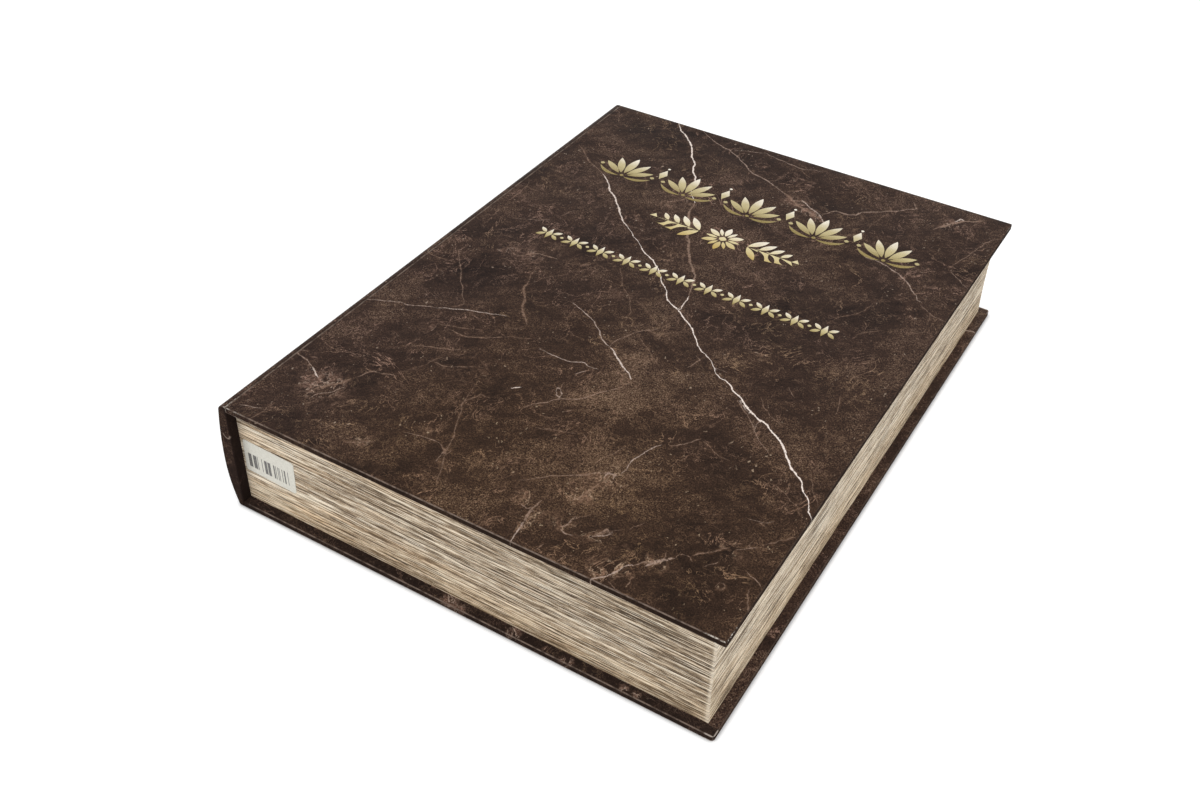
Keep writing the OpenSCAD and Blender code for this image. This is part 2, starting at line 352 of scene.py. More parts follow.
flecks = times(
    marble, fade(marble, noise(marble, place, (560, 420, 500), 2, 0.6), 0.68, 0.72),
    fade(marble, noise(marble, place, 34, 4, 0.7), 0.48, 0.60, 0.05, 0.80))
ground = mix(marble, flecks, ground, fleck_cream)
marble.links.new(ground, made["Color"])
marble.links.new(grain, made["Grain"])

# Wear and painted light on the case's edges. The upright faces where the print turns round an edge are
# darkened as painted shade, a pale line along the arrises is partly the film rubbed thin and partly a
# painted highlight, and the film is rubbed thin at the corners. The group finds them from the middle and
# half sizes of a box.
film_rough, film_gloss = 0.46, 0.03
# Painted shade for the upright faces where the print turns round an edge.
painted_side_shade = (0.015, 0.009, 0.007, 1)
arris_rub_and_highlight = (0.20, 0.150, 0.120, 1)
rub_white = (0.74, 0.69, 0.61, 1)
fold_tan = (0.36, 0.31, 0.27, 1)


def axes(tree, place):
    return add(tree, "SeparateXYZ", {0: place}).outputs


wear_and_shade, given, made = new_group(
    "edge_wear_and_shade", {"Vector": "Vector", "Middle": "Vector", "Half": "Vector"},
    {"Side": "Float", "Arris": "Float", "Corner": "Float", "Fold": "Float"})
from_middle = vector(wear_and_shade, "ABSOLUTE", vector(wear_and_shade, "SUBTRACT", given["Vector"], given["Middle"])[0])[0]
away = axes(wear_and_shade, vector(wear_and_shade, "SUBTRACT", given["Half"], from_middle)[0])
level_low = calc(wear_and_shade, "MINIMUM", away[0], away[1])
level_high = calc(wear_and_shade, "MAXIMUM", away[0], away[1])
second = calc(wear_and_shade, "MAXIMUM", level_low, calc(wear_and_shade, "MINIMUM", level_high, away[2]))
farthest = calc(wear_and_shade, "MAXIMUM", level_high, away[2])
for output, measure, full, gone in (
    ("Side", level_low, 0.10, 0.45),
    ("Arris", second, 0.20, 0.60),
    ("Corner", farthest, 4, 12),
    ("Fold", farthest, 3.6, 4.8),
):
    wear_and_shade.links.new(fade(wear_and_shade, measure, full * MM, gone * MM, 1, 0), made[output])


def laminate(tree, shader, place, print_color, grain, low, high, side, line, dots, fold):
    """The matt film over a printed colour, on a piece with the given corners. The side share is how much
    painted shade darkens its upright faces, line how pale its arrises, rubbed thin and partly a painted
    highlight, dots how strong the white rubs at its corners, and fold its folds."""
    worn_and_shaded = add(tree, "Group", {
        "Vector": place, "Middle": (low + high) / 2, "Half": (high - low) / 2}, node_tree=wear_and_shade).outputs
    rubbed = fade(tree, noise(tree, place, 240, 4, 0.7), 0.38, 0.58, 0.25, 0.90)
    spots = fade(tree, noise(tree, place, 900, 3, 0.8), 0.53, 0.57)
    # Painted shade: the upright faces are darkened by the side share.
    film_color = mix(tree, times(tree, worn_and_shaded["Side"], side), print_color, painted_side_shade)
    # The pale arris line: the film rubbed thin, and partly a painted highlight.
    film_color = mix(tree, times(tree, worn_and_shaded["Arris"], rubbed, line), film_color, arris_rub_and_highlight)
    film_color = mix(tree, times(tree, worn_and_shaded["Arris"], worn_and_shaded["Corner"], dots, spots), film_color, rub_white)
    film_color = mix(tree, times(tree, worn_and_shaded["Arris"], worn_and_shaded["Fold"], fold), film_color, fold_tan)
    tree.links.new(film_color, shader.inputs["Base Color"])
    rough = fade(tree, noise(tree, place, 30, 5, 0.6), 0.3, 0.7, 0.42, 0.54)
    rough = calc(tree, "MAXIMUM", rough, times(tree, worn_and_shaded["Side"], 0.95))
    tree.links.new(rough, shader.inputs["Roughness"])
    relief(tree, shader, grain, 0.10)


# Back cover and spine paper. The sheet runs on from the back board, whose edges it wraps with its
# turn-ins showing round the pages, over the round back of the spine. Its folds are slightly rounded.
fold_round = 0.3 * MM
NEAR = 0.02 * MM
curl_cream = (0.50, 0.39, 0.32, 1)
# Painted shade for the spine paper's inner face, in the gap by the pages.
gap_shade_brown = (0.006, 0.004, 0.004, 1)
# Painted shade for the back paper's turn-in strip along the tail.
tail_shade_brown = (0.010, 0.007, 0.006, 1)
# Each paper has one pale curl, given by its centre, radius and line width, and the back cover has rusty
# marks along its tail edge, given by their middle and reach, all in millimetres.
CURLS = {"back_wrap": ((128.5, 138.5, 3.1), 10.6, 0.75), "spine_wrap": ((-124.3, -175.0, 44.2), 2.0, 0.65)}
RUST_SPOTS = {
    "back_wrap": ((-3, -173, 6), (3, -175, 5), (31, -173, 5), (48, -173, 3), (58, -174, 5), (86, -173, 3),
                  (92, -173, 3)),
    "spine_wrap": ()}


def select_only(obj):
    bpy.ops.object.select_all(action="DESELECT")
    obj.select_set(True)
    bpy.context.view_layer.objects.active = obj


def edit_selection(obj, kind, wanted):
    """In edit mode, selects just the vertices, edges or faces of obj that pass the test."""
    net = bmesh.from_edit_mesh(obj.data)
    for part in (net.faces, net.edges, net.verts):
        for item in part:
            item.select = False
    for item in [item for item in getattr(net, kind) if wanted(item)]:
        item.select_set(True)
    net.select_flush_mode()
    bmesh.update_edit_mesh(obj.data)


def merged_copy(node_name, name):
    """A copy of a CAD node's mesh with its loose triangles joined into clean faces."""
    copy = bpy.data.objects.new(name, nodes[node_name].data.copy())
    scene.collection.objects.link(copy)
    copy.data.materials.clear()
    select_only(copy)
    bpy.ops.object.mode_set(mode="EDIT")
    bpy.ops.mesh.select_all(action="SELECT")
    bpy.ops.mesh.remove_doubles(threshold=0.001 * MM)
    bpy.ops.mesh.dissolve_limited(angle_limit=math.radians(1))
    bpy.ops.object.mode_set(mode="OBJECT")
    return copy


def sharp(edge):
    return len(edge.link_faces) == 2 and edge.calc_face_angle() > math.radians(40)


for node_name, name in (("back_wrap", "back_cover_paper"), ("spine_wrap", "spine_paper")):
    low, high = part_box(node_name)
    piece = merged_copy(node_name, name)

    def outside(point):
        """True on the faces of the paper that the hand can reach, and not where it meets the boards."""
        if node_name == "back_wrap":
            return (abs(abs(point.y) - high.y) < 2 * MM or point.x > high.x - 2 * MM) and (
                point.z < low.z + NEAR or point.z > high.z - NEAR)
        return abs(abs(point.y) - high.y) < NEAR

    bpy.ops.object.mode_set(mode="EDIT")
    bpy.ops.mesh.select_mode(type="EDGE")
    edit_selection(piece, "edges", lambda edge: sharp(edge) and all(outside(v.co) for v in edge.verts))
    bpy.ops.mesh.bevel(offset=fold_round, segments=3, affect="EDGES", clamp_overlap=False)
    bpy.ops.object.mode_set(mode="OBJECT")
    bpy.ops.object.shade_smooth_by_angle(angle=math.radians(35))
    material, tree, shader, place = new_material(name + "_print", film_rough, film_gloss)
    rust = 0.0
    for x, y, reach in RUST_SPOTS[node_name]:
        spot = vector(tree, "DISTANCE", place, Vector((x * MM, y * MM, high.z)))["Value"]
        rust = calc(tree, "MAXIMUM", rust, fade(tree, spot, 0.3 * reach * MM, reach * MM, 1, 0))
    sheet = add(tree, "Group", {"Vector": place, "Rosy": rust}, node_tree=marble).outputs
    sheet_color = sheet["Color"]
    across, lengthwise, height = axes(tree, place)
    middle, radius, line_width = CURLS[node_name]
    ring = vector(tree, "DISTANCE", place, Vector(middle) * MM)["Value"]
    ring = plus(tree, ring, swing(tree, noise(tree, place, 160, 4, 0.7), 3.0 * MM))
    curl = hair_line(tree, ring, radius * MM, line_width * MM)
    if node_name == "spine_wrap":
        curl_half = fade(tree, height, (middle[2] - 0.6) * MM, (middle[2] + 0.6) * MM, 1, 0)
        # Painted shade: the spine paper's inner face, in the dark gap by the pages, is darkened.
        painted_gap_shade = fade(tree, across, high.x - 1.2 * MM, high.x - 0.2 * MM, 0, 0.85)
        sheet_color = mix(tree, painted_gap_shade, sheet_color, gap_shade_brown)
        # Only the top arrises of the spine paper carry the pale line, partly a painted highlight.
        at_top = fade(tree, height, high.z - 1.4 * MM, high.z - 0.5 * MM)
        # The first share darkens the spine paper's upright faces as painted shade.
        worn_and_shaded_as = (0.55, times(tree, at_top, 0.8), times(tree, at_top, 0.4), 0.0)
    else:
        curl_half = fade(tree, lengthwise, middle[1] * MM, (middle[1] + 2) * MM)
        # Painted shade: the back paper's strip along the tail, under the pages and the lid, is darkened,
        # less on the rust marks.
        painted_tail_shade = fade(tree, lengthwise, low.y + 4.4 * MM, low.y + 5.2 * MM, 0.62, 0)
        painted_tail_shade = times(tree, painted_tail_shade, fade(tree, rust, 0.0, 1.0, 1.0, 0.25))
        sheet_color = mix(tree, painted_tail_shade, sheet_color, tail_shade_brown)
        # The pale arris line, partly a painted highlight, fades towards the fore-edge and by the spine.
        line = fade(tree, across, high.x - 1.2 * MM, high.x - 0.5 * MM, 1.0, 0.3)
        by_spine = fade(tree, across, low.x + 1.5 * MM, low.x + 12 * MM)
        # The first share darkens the back paper's upright faces as painted shade.
        worn_and_shaded_as = (0.45, times(tree, line, by_spine), 0.0, times(tree, by_spine, 0.9))
    sheet_color = mix(tree, times(tree, curl, curl_half), sheet_color, curl_cream)
    laminate(tree, shader, place, sheet_color, sheet["Grain"], low, high, *worn_and_shaded_as)
    piece.data.materials.append(material)
    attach(piece, "tray")
    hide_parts(node_name)

# Front cover paper. The same sheet over the lid board, with its edges turned over and pasted 15 mm
# underneath. Its face is a net, on which each point learns how far it lies from the printed veins.
foil_thick = 0.04 * MM
turn_in = 15 * MM
corner_round = 0.9 * MM
net_step = 3.6 * MM
cover_low, cover_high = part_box("front_wrap")
paper_thick = cover_high.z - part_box("front_board")[1].z
cover_high.z -= foil_thick
cover_size = cover_high - cover_low
cover_middle = (cover_low + cover_high) / 2

bpy.ops.object.select_all(action="DESELECT")
bpy.ops.mesh.primitive_grid_add(
    x_subdivisions=round(cover_size.x / net_step), y_subdivisions=round(cover_size.y / net_step), size=1,
    location=(cover_middle.x, cover_middle.y, cover_high.z))
cover_paper = bpy.context.active_object
cover_paper.name = "front_cover_paper"
cover_paper.scale = (cover_size.x, cover_size.y, 1)
bpy.ops.object.transform_apply(location=True, rotation=True, scale=True)


def rim_at(height):
    """Test for the edges along the tail, fore and head sides of the cover at a height."""
    def on_rim(point):
        return abs(point.z - height) < NEAR and (
            point.x > cover_high.x - NEAR or abs(point.y) > cover_high.y - NEAR)
    return lambda edge: on_rim((edge.verts[0].co + edge.verts[1].co) / 2) and all(
        on_rim(v.co) for v in edge.verts)


bpy.ops.object.mode_set(mode="EDIT")
bpy.ops.mesh.select_mode(type="EDGE")
edit_selection(cover_paper, "edges", rim_at(cover_high.z))
bpy.ops.mesh.extrude_edges_move(TRANSFORM_OT_translate={"value": (0, 0, cover_low.z - cover_high.z)})
bpy.ops.mesh.extrude_edges_move(TRANSFORM_OT_translate={"value": (0, 0, 0)})
bpy.ops.transform.resize(
    value=((cover_size.x - turn_in) / cover_size.x, (cover_size.y - 2 * turn_in) / cover_size.y, 1),
    center_override=(cover_low.x, 0, cover_low.z))


def upright_corner(edge):
    """Test for the two upright edges at the cover's fore-edge corners."""
    first, second = (v.co for v in edge.verts)
    return (abs(first.z - second.z) > 1 * MM and first.x > cover_high.x - NEAR
            and abs(first.y) > cover_high.y - NEAR)


edit_selection(cover_paper, "edges", upright_corner)
bpy.ops.mesh.bevel(offset=corner_round, segments=4, affect="EDGES", clamp_overlap=False)
edit_selection(cover_paper, "edges", lambda edge: sharp(edge) and abs(
    edge.verts[0].co.z - edge.verts[1].co.z) < NEAR)
bpy.ops.mesh.bevel(offset=fold_round, segments=3, affect="EDGES", clamp_overlap=False)
bpy.ops.mesh.select_all(action="SELECT")
bpy.ops.mesh.normals_make_consistent(inside=False)
bpy.ops.object.mode_set(mode="OBJECT")
solid = cover_paper.modifiers.new("paper", "SOLIDIFY")
solid.thickness = paper_thick - foil_thick
solid.offset = -1
bpy.ops.object.modifier_apply(modifier="paper")
bpy.ops.object.shade_smooth_by_angle(angle=math.radians(40))
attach(cover_paper, "lid")
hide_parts("front_wrap")

# Veins of the front cover. Each is a route given in the photograph's pixels, after its width in
# millimetres and how pale it is, from 0 to 1. The camera carries each point on to the cover.
VEINS = [
    (1.0, 0.95, (679, 124), (681, 131), (687, 138), (692, 149), (695, 164), (693, 172), (695, 182),
        (695, 203)),
    (1.5, 0.50, (695, 203), (689, 212), (688, 224), (687, 235), (688, 249), (690, 262), (691, 289),
        (689, 296)),
    (0.7, 0.80, (689, 296), (684, 303), (680, 310)),
    (0.7, 0.45, (579, 145), (586, 156), (596, 167), (603, 174)),
    (1.1, 0.80, (603, 174), (609, 184), (615, 197), (619, 208), (622, 218), (627, 226)),
    (0.7, 0.95, (627, 226), (634, 237), (641, 246), (647, 255), (653, 260), (658, 268), (661, 278),
        (665, 287), (666, 295), (671, 304), (680, 312), (688, 323), (694, 335), (698, 346), (706, 355),
        (714, 368)),
    (1.0, 1.0, (714, 368), (720, 378), (725, 380), (733, 391), (741, 398), (748, 409), (759, 420),
        (767, 425), (772, 432), (780, 441), (785, 451), (787, 458), (792, 470), (797, 476), (802, 483),
        (804, 493), (809, 504), (813, 521)),
    (0.6, 0.50, (738, 401), (744, 411), (749, 418), (754, 430), (758, 439), (764, 447), (768, 453)),
    (0.7, 0.58, (703, 131), (714, 141), (720, 145), (730, 150), (734, 154), (741, 161), (749, 170),
        (758, 176), (768, 181), (777, 188), (785, 194)),
    (0.5, 0.58, (730, 149), (739, 151), (754, 152), (766, 153), (774, 157), (783, 161), (795, 166),
        (802, 169), (814, 170), (822, 172)),
    (1.8, 0.45, (783, 192), (792, 200), (803, 209), (814, 216), (822, 219)),
    (0.8, 0.65, (803, 201), (810, 208), (819, 214), (825, 226)),
    (0.9, 0.55, (822, 214), (831, 212), (837, 211), (842, 213), (849, 215), (856, 215), (862, 212),
        (871, 212), (881, 212), (889, 211), (899, 211), (908, 209), (917, 209), (914, 203)),
    (0.4, 0.35, (888, 214), (881, 218), (874, 223), (869, 228)),
    (1.8, 0.50, (934, 229), (944, 226), (953, 223), (963, 221), (973, 222), (983, 221)),
    (0.8, 0.75, (953, 222), (961, 219), (968, 222)),
    (0.5, 0.50, (1000, 239), (992, 240), (985, 243), (978, 248), (971, 253), (965, 258), (958, 262),
        (951, 266)),
    (0.4, 0.55, (951, 270), (956, 277), (962, 284), (968, 289)),
    (0.7, 0.60, (865, 257), (874, 260), (883, 264), (892, 270), (899, 274), (905, 280), (912, 291),
        (917, 300), (921, 302)),
    (0.4, 0.52, (921, 306), (930, 314), (939, 319), (946, 322)),
    (0.3, 0.45, (904, 333), (917, 333), (926, 332)),
    (0.4, 0.40, (856, 335), (867, 332), (878, 331)),
    (0.4, 0.35, (828, 323), (837, 318), (846, 316), (856, 314), (865, 310), (871, 306), (876, 302)),
    (0.6, 0.60, (760, 254), (771, 253), (783, 252)),
    (0.5, 0.40, (529, 180), (527, 186), (521, 192), (511, 199), (504, 201)),
    (0.4, 0.55, (513, 218), (529, 219), (541, 220), (551, 220)),
    (0.6, 0.50, (561, 216), (569, 212), (577, 211)),
    (0.8, 0.50, (517, 256), (529, 254), (540, 254), (550, 257), (557, 259)),
    (0.5, 0.35, (536, 267), (531, 274), (529, 281)),
    (1.2, 0.42, (529, 281), (524, 287), (525, 297), (522, 307), (525, 317), (527, 325)),
    (0.4, 0.35, (530, 284), (542, 278), (555, 276), (567, 274)),
    (0.4, 0.30, (644, 170), (645, 178), (646, 187)),
    (0.7, 0.40, (663, 201), (672, 202), (682, 200), (691, 197)),
    (0.4, 0.40, (620, 268), (622, 276), (622, 285), (627, 293), (630, 301), (631, 312), (626, 320)),
    (0.4, 0.30, (636, 300), (648, 312), (659, 325)),
    (0.6, 0.65, (573, 303), (584, 312), (594, 321), (600, 331), (601, 337), (605, 343), (611, 348)),
    (0.9, 0.75, (611, 348), (615, 354), (620, 362), (625, 369), (631, 379)),
    (0.5, 0.50, (611, 345), (617, 340), (627, 336), (636, 332), (648, 330), (659, 329)),
    (0.4, 0.40, (639, 335), (643, 343), (650, 352), (655, 360), (659, 366)),
    (0.5, 0.60, (365, 299), (378, 300), (390, 301), (401, 302), (410, 305), (424, 306), (437, 308)),
    (0.5, 0.70, (437, 308), (453, 309), (467, 310), (479, 312), (491, 314), (506, 316)),
    (0.4, 0.50, (459, 250), (460, 264), (461, 276), (463, 287), (465, 303)),
    (0.5, 0.45, (425, 252), (433, 255), (445, 259), (455, 262)),
    (0.7, 0.55, (296, 351), (303, 357), (309, 363), (312, 367)),
    (1.0, 0.72, (312, 367), (315, 371), (318, 377)),
    (0.4, 0.50, (296, 350), (301, 350), (307, 351)),
    (1.6, 0.38, (303, 396), (313, 390), (325, 386), (337, 384), (346, 381), (350, 379)),
    (0.7, 0.55, (310, 398), (320, 393), (333, 392), (344, 387)),
    (0.6, 0.50, (356, 377), (366, 373), (374, 371), (380, 373), (388, 374), (396, 376)),
    (0.3, 0.35, (398, 373), (408, 370), (418, 367), (426, 365)),
    (0.5, 0.46, (427, 360), (435, 362), (443, 366), (453, 367), (465, 367), (475, 366)),
    (0.7, 0.44, (412, 346), (424, 346), (433, 347), (443, 348), (451, 350), (465, 350)),
    (0.6, 0.42, (441, 325), (453, 326), (471, 329)),
    (0.7, 0.45, (447, 329), (457, 333), (467, 337), (487, 338), (501, 337), (512, 336)),
    (0.4, 0.60, (240, 405), (250, 406), (261, 408)),
    (0.5, 0.32, (246, 420), (255, 416), (265, 410), (273, 404)),
    (0.5, 0.50, (404, 432), (416, 435), (427, 438), (435, 441), (440, 443)),
    (1.1, 0.40, (440, 443), (445, 450), (443, 455)),
    (0.7, 0.28, (475, 385), (462, 404), (458, 419), (454, 436), (441, 471), (436, 484)),
    (0.5, 0.35, (463, 403), (472, 398), (481, 394), (489, 398)),
    (0.8, 0.38, (346, 442), (360, 441), (374, 442)),
    (0.5, 0.65, (540, 349), (548, 353), (556, 356), (562, 359), (571, 362), (583, 362), (588, 366),
        (597, 369)),
    (0.8, 0.50, (525, 407), (539, 403), (554, 400), (569, 399), (584, 398), (596, 394), (607, 391),
        (623, 387)),
    (0.6, 0.60, (576, 374), (581, 372), (586, 371)),
    (0.5, 0.45, (563, 412), (569, 411), (573, 410)),
    (0.8, 0.75, (512, 388), (521, 387)),
    (0.6, 0.60, (556, 391), (556, 395), (559, 397), (562, 394), (561, 390), (558, 388), (556, 391)),
    (0.5, 0.50, (688, 367), (694, 364), (700, 360), (696, 356)),
    (0.5, 0.48, (519, 480), (531, 479), (544, 477), (558, 476), (573, 476), (586, 475), (604, 473),
        (611, 471)),
    (0.6, 0.62, (622, 473), (629, 464), (636, 458), (644, 453), (653, 448), (661, 445)),
    (0.5, 0.50, (671, 446), (684, 444), (694, 441), (701, 439)),
    (0.4, 0.38, (703, 441), (711, 448), (720, 457)),
    (0.5, 0.42, (596, 463), (607, 456), (619, 450), (625, 447)),
    (1.3, 0.55, (604, 477), (609, 473), (615, 475), (613, 479)),
    (0.7, 0.32, (535, 427), (550, 429), (565, 432), (581, 433)),
    (0.4, 0.45, (761, 398), (763, 407), (770, 416), (778, 422), (782, 426)),
    (0.4, 0.50, (789, 388), (791, 392), (794, 397)),
    (0.4, 0.45, (840, 395), (839, 405), (836, 414)),
    (0.4, 0.40, (773, 484), (782, 491), (790, 501), (799, 508)),
    (0.3, 0.38, (811, 474), (813, 483), (815, 497), (818, 506)),
    (0.3, 0.55, (749, 519), (757, 521), (767, 523), (773, 522)),
    (0.9, 0.60, (589, 580), (596, 578), (606, 576), (615, 572), (623, 567), (633, 565)),
    (1.8, 0.55, (646, 566), (655, 563), (664, 560), (673, 558)),
    (0.7, 0.50, (633, 566), (644, 562), (656, 560), (667, 559), (675, 558)),
    (0.6, 0.45, (677, 556), (682, 554), (688, 556), (692, 561)),
    (1.0, 0.42, (694, 555), (705, 553), (719, 550), (728, 548)),
    (0.7, 0.48, (736, 550), (746, 549), (757, 548)),
    (0.8, 0.30, (763, 545), (774, 543), (786, 540), (795, 537)),
    (0.6, 0.48, (704, 567), (713, 564), (719, 562)),
    (0.5, 0.38, (608, 581), (614, 588), (621, 593), (631, 596)),
    (0.5, 0.50, (748, 573), (755, 579), (761, 587)),
    (0.7, 0.35, (749, 590), (748, 600), (748, 608), (749, 612)),
    (0.7, 0.32, (716, 586), (719, 583), (724, 583), (725, 588), (721, 590), (717, 588)),
    (0.6, 0.38, (560, 476), (573, 475), (585, 474), (598, 473)),
    (1.0, 0.50, (560, 527), (568, 524), (575, 517)),
    (1.2, 0.48, (592, 537), (600, 533), (607, 529), (612, 535)),
    (0.8, 0.42, (573, 500), (583, 495), (592, 489), (600, 483)),
    (1.2, 0.50, (541, 501), (533, 508), (528, 514), (524, 522), (521, 528)),
    (0.6, 0.62, (525, 519), (519, 529), (514, 536), (508, 544)),
    (0.8, 0.50, (521, 504), (526, 508), (534, 511)),
    (0.5, 0.45, (535, 550), (540, 547), (543, 544)),
    (0.5, 0.42, (557, 561), (562, 558), (565, 555)),
    (0.7, 0.55, (561, 530), (566, 534), (572, 535)),
    (0.6, 0.60, (591, 537), (600, 536), (608, 535), (612, 533)),
    (0.4, 0.45, (630, 529), (637, 526), (644, 523)),
    (0.5, 0.45, (627, 586), (629, 583), (630, 581)),
    (0.5, 0.50, (435, 462), (440, 456), (446, 450), (449, 446)),
    (0.4, 0.40, (573, 497), (580, 500), (588, 497), (592, 492)),
]

# Soft clouds of the front cover's print: middle and half sizes in millimetres from the box's middle.
PALE_CLOUDS = [
    (22, -58, 24, 48, 0.8), (13, -18, 12, 16, 0.6), (-38, -74, 24, 13, 0.4), (-46, -96, 20, 10, 0.3),
    (-66, -142, 30, 20, 0.3), (46, -104, 18, 26, 0.7), (-84, 6, 20, 9, 0.6), (90, 62, 9, 30, 0.4),
    (30, 138, 26, 9, 0.5), (-30, -150, 34, 16, 0.1), (-98, -22, 17, 24, -1.0), (-92, -102, 14, 14, -0.6),
    (96, -112, 22, 32, -0.4), (44, -84, 13, 13, -0.8), (-62, 150, 30, 20, -0.4), (60, 20, 40, 40, -0.3),
]
ROSY_CLOUDS = [
    (-95, -139, 8, 9, 1.0), (44, -121, 6, 7, 0.9), (59, -152, 8, 4, 0.9), (20, -144, 7, 6, 0.8),
    (-72, 5, 9, 6, 0.6), (-16, -1, 6, 4, 0.6), (97, 151, 4, 5, 0.7), (102, 158, 4, 5, 0.9),
    (73, -166, 4, 7, 0.5), (-92, 0, 6, 5, 0.6), (-52, -92, 20, 6, 0.5), (-34, 93, 3, 12, 0.7),
    (86, -154, 7, 3, 0.7),
    (14, 132, 7, 3, 0.8), (21, 128, 7, 3, 0.9), (28, 124, 7, 3, 0.9), (36, 120, 6, 3, 0.8),
    (-78, -84, 6, 12, 0.6), (39, 66, 5, 6, 0.6), (108, -133, 8, 3, 0.5), (78, -163, 5, 3, 0.4),
    (110, -153, 3, 3, 0.5), (-35, -141, 4, 5, 0.5), (108, 165, 4, 4, 0.8),
    (42, -138, 5, 4, 0.8), (46, -155, 6, 4, 0.8), (29, -154, 4, 5, 0.8), (31, -165, 3, 6, 0.6),
    (-57, -160, 12, 4, 0.5), (68, -170, 5, 3, 0.6),
]


def on_cover(pixel):
    """The point of the cover's face that the camera sees at a pixel of the photograph, in millimetres."""
    across = (pixel[0] - PHOTO_WIDTH / 2) / focal_pixels
    down = (pixel[1] - PHOTO_HEIGHT / 2) / focal_pixels
    ray = across * camera_right - down * camera_up - camera_back
    hit = camera_place + (cover_high.z - camera_place.z) / ray.z * ray
    return hit.x / MM, hit.y / MM


# A vein wanders between its points, thins towards its ends and throws off a few hair branches, the more
# the paler it is. Widths and reach are in millimetres, the lean is in radians, and the tip's width, the
# wander and the twist are shares.
TIP_SHARE = 0.35
VEIN_WANDER, BRANCH_WANDER = 0.10, 0.12
BRANCH_WIDTH, BRANCH_REACH = 0.35, (3, 9)
BRANCH_CHANCE, BRANCH_LEAN, BRANCH_TWIST = 0.06, (0.5, 1.1), 0.25
dice = np.random.default_rng(7)
starts, ends, widths, tones = [], [], [], []


def draw_vein(points, width, tone, wander):
    line = [points[0]]
    for before, after in zip(points, points[1:]):
        sideways = np.array((before[1] - after[1], after[0] - before[0]))
        line.append((before + after) / 2 + sideways * dice.uniform(-wander, wander))
        line.append(after)
    last = len(line) - 1
    for i in range(last):
        starts.append(line[i])
        ends.append(line[i + 1])
        widths.append([width * min(1.0, TIP_SHARE + 3 * min(k, last - k) / last) for k in (i, i + 1)])
        tones.append(tone)


for width, tone, *route in VEINS:
    points = [np.array(on_cover(pixel)) for pixel in route]
    draw_vein(points, width, tone, VEIN_WANDER)
    for before, after in zip(points, points[1:]):
        if dice.random() < BRANCH_CHANCE + BRANCH_CHANCE * tone:
            along = (after - before) / np.linalg.norm(after - before)
            lean = dice.uniform(*BRANCH_LEAN) * dice.choice((-1, 1))
            heading = np.array((along[0] * math.cos(lean) - along[1] * math.sin(lean),
                                along[0] * math.sin(lean) + along[1] * math.cos(lean)))
            reach = dice.uniform(*BRANCH_REACH)
            twist = np.array((-heading[1], heading[0])) * dice.uniform(-BRANCH_TWIST, BRANCH_TWIST)
            branch = [after + reach * k / 3 * (heading + twist * k) for k in range(4)]
            draw_vein(branch, BRANCH_WIDTH, 0.25 + 0.3 * tone, BRANCH_WANDER)
starts, ends, widths, tones = (np.array(values) for values in (starts, ends, widths, tones))
along = ends - starts
length_squared = (along ** 2).sum(1)

BATCH = 3000


def nearest_vein(places):
    """For points in millimetres: signed and plain distance to the nearest vein, its width and its tone."""
    found = np.zeros((len(places), 4), np.float32)
    for first in range(0, len(places), BATCH):
        here = places[first:first + BATCH, None, :]
        share = (((here - starts) * along).sum(2) / length_squared).clip(0, 1)
        gap = here - starts - share[..., None] * along
        distance = np.hypot(gap[..., 0], gap[..., 1])
        local_width = widths[:, 0] * (1 - share) + widths[:, 1] * share
        pick = (distance - local_width / 2).argmin(1)
        rows = np.arange(len(pick))
        side = np.where(along[pick, 0] * gap[rows, pick, 1] > along[pick, 1] * gap[rows, pick, 0], 1, -1)
        chosen = distance[rows, pick]
        found[first:first + BATCH] = np.stack(
            (chosen * side, chosen, local_width[rows, pick], tones[pick]), 1)
    return found


def read_points(collection, field):
    values = np.zeros(len(collection) * 3, np.float32)
    collection.foreach_get(field, values)
    return values.reshape(-1, 3)


# The paper's outer skin is cut finer in two steps along the veins: reach in millimetres, and cuts.
for reach, cuts in ((4.2, 2), (2.1, 1)):
    centers = read_points(cover_paper.data.polygons, "center")
    outer_skin = (centers[:, 2] > cover_high.z - paper_thick / 2) | (
        centers[:, 0] > cover_high.x - paper_thick / 2) | (
        abs(centers[:, 1]) > cover_high.y - paper_thick / 2)
    outer_skin &= centers[:, 2] > cover_low.z + 0.5 * MM
    close = outer_skin & (nearest_vein(centers[:, :2] / MM)[:, 1] < reach)
    select_only(cover_paper)
    bpy.ops.object.mode_set(mode="EDIT")
    bpy.ops.mesh.select_mode(type="FACE")
    edit_selection(cover_paper, "faces", lambda face: close[face.index])
    bpy.ops.mesh.subdivide(number_cuts=cuts)
    bpy.ops.object.mode_set(mode="OBJECT")

places = read_points(cover_paper.data.vertices, "co")[:, :2] / MM
veins = cover_paper.data.attributes.new("veins", "FLOAT_COLOR", "POINT")
veins.data.foreach_set("color", nearest_vein(places).ravel())

cloud_data = np.zeros((len(places), 4), np.float32)
for channel, group in enumerate((PALE_CLOUDS, ROSY_CLOUDS)):
    for x, y, half_x, half_y, strength in group:
        reach = ((places[:, 0] - x) / half_x) ** 2 + ((places[:, 1] - y) / half_y) ** 2
        cloud_data[:, channel] += strength * np.exp(-reach * 0.8)
clouds = cover_paper.data.attributes.new("clouds", "FLOAT_COLOR", "POINT")
clouds.data.foreach_set("color", cloud_data.ravel())


def attribute(tree, name):
    return add(tree, "Attribute", attribute_name=name).outputs


cover_material, tree, shader, place = new_material("front_cover_print", film_rough, film_gloss)
vein_tan = (0.33, 0.215, 0.155, 1)
vein_white = (0.88, 0.76, 0.68, 1)
fringe_brown = (0.17, 0.098, 0.066, 1)
